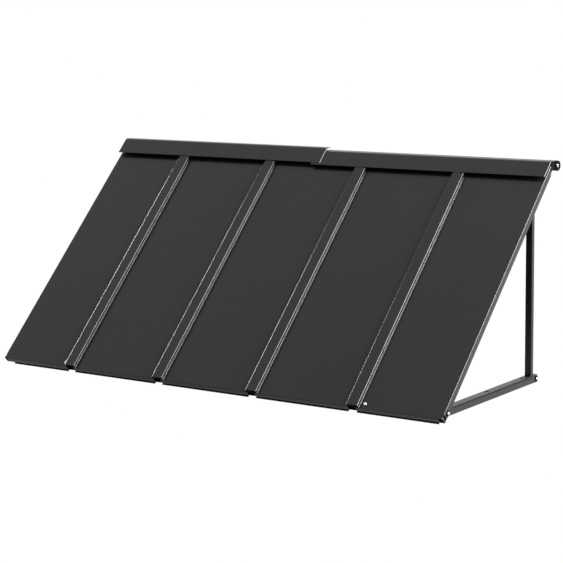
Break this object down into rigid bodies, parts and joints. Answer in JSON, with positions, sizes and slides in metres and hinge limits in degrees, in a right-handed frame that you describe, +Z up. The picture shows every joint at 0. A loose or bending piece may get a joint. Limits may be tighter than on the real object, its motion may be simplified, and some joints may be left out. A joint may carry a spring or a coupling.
{
  "type": "metal door canopy",
  "caption": "Sloping batten seam metal canopy for a doorway, with ridge caps, a wall rail and triangular side frames.",
  "frame": {"origin": "middle of the flat land on the back of the wall rail, where the canopy meets the wall", "axes": "+X along the width, to the right as seen from the front; +Y into the wall; +Z up"},
  "size_m": [2.0126, 0.8664, 0.8495],
  "materials": {
    "roof_coat": "dark grey powder coat, satin",
    "frame_coat": "dark grey powder coat, satin",
    "rail_coat": "dark grey powder coat, satin",
    "black_plastic": "black, matt",
    "zinc": "bright zinc plated"
  },
  "bodies": {
    "root": {"roof_pan_1": "roof_coat", "roof_pan_2": "roof_coat", "roof_pan_3": "roof_coat", "roof_pan_4": "roof_coat", "roof_pan_5": "roof_coat", "seam_cover_1": "roof_coat", "seam_cover_2": "roof_coat", "seam_cover_3": "roof_coat", "seam_cover_4": "roof_coat", "seam_batten_1": "rail_coat", "seam_batten_2": "rail_coat", "seam_batten_3": "rail_coat", "seam_batten_4": "rail_coat", "ridge_cap_left": "roof_coat", "ridge_cap_right": "roof_coat", "wall_rail": "rail_coat", "front_rail": "rail_coat", "rail_end_cap_left": "black_plastic", "rail_end_cap_right": "black_plastic", "rail_bolt_left": "zinc", "rail_bolt_right": "zinc", "front_rail_plug_left": "black_plastic", "front_rail_plug_right": "black_plastic", "flange_washer_left": "black_plastic", "flange_washer_right": "black_plastic", "flange_bolt_left": "zinc", "flange_bolt_right": "zinc", "pan_screw_left": "zinc", "pan_screw_right": "zinc", "arm_left": "frame_coat", "arm_right": "frame_coat", "rafter_left": "frame_coat", "rafter_right": "frame_coat", "post_left": "frame_coat", "post_right": "frame_coat", "wall_bracket_left": "frame_coat", "wall_bracket_right": "frame_coat", "arm_washer_left": "black_plastic", "arm_washer_right": "black_plastic", "arm_bolt_left": "zinc", "arm_bolt_right": "zinc", "arm_nut_left": "zinc", "arm_nut_right": "zinc", "gusset_left": "frame_coat", "gusset_right": "frame_coat", "gusset_bolt_arm_left": "zinc", "gusset_bolt_arm_right": "zinc", "gusset_bolt_rafter_left": "zinc", "gusset_bolt_rafter_right": "zinc"}
  },
  "joints": []
}
